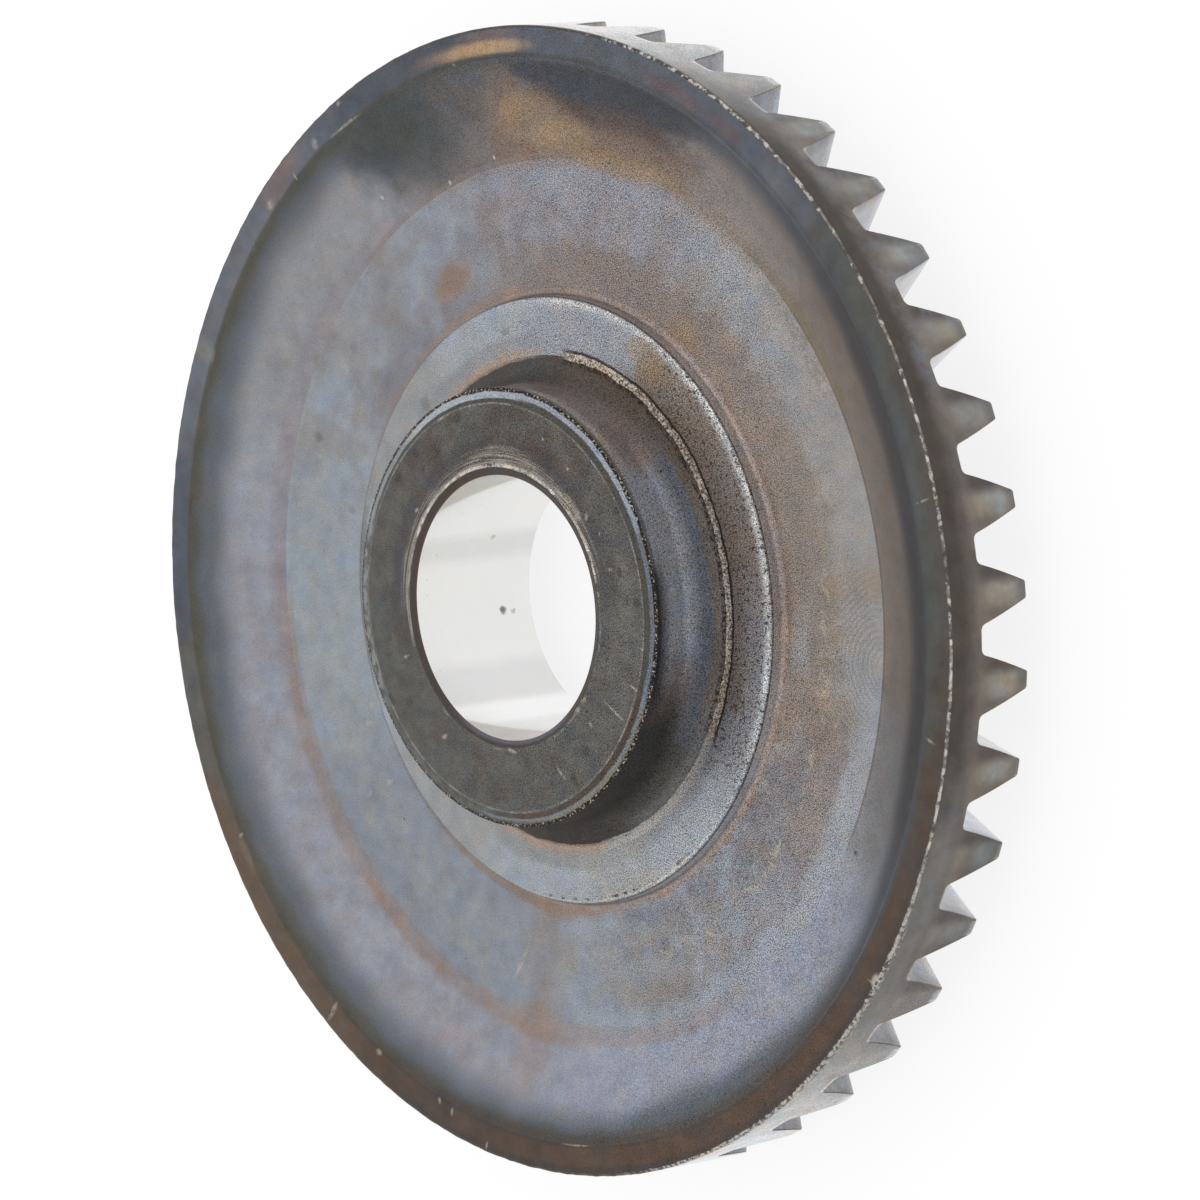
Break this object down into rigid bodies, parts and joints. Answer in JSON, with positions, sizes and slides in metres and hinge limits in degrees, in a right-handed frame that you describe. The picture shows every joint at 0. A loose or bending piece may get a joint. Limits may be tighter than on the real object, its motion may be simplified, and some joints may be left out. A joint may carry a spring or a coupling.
{
  "type": "bevel gear",
  "caption": "Straight bevel gear with a dished back, a raised hub and a plain bore pressed on a spindle, for turning a drive through a right angle.",
  "frame": {"origin": "on the bore axis, in the plane of the lowest tooth tips, on which the gear lies", "axes": "+Z along the bore axis, from the toothed front towards the hub on the back; +X through the middle of a tooth"},
  "size_m": [0.063, 0.063, 0.0106],
  "materials": {
    "steel": "heat-tinted and shot-blasted, with a ground bore"
  },
  "bodies": {
    "root": {"bevel_gear": "steel"}
  },
  "joints": []
}
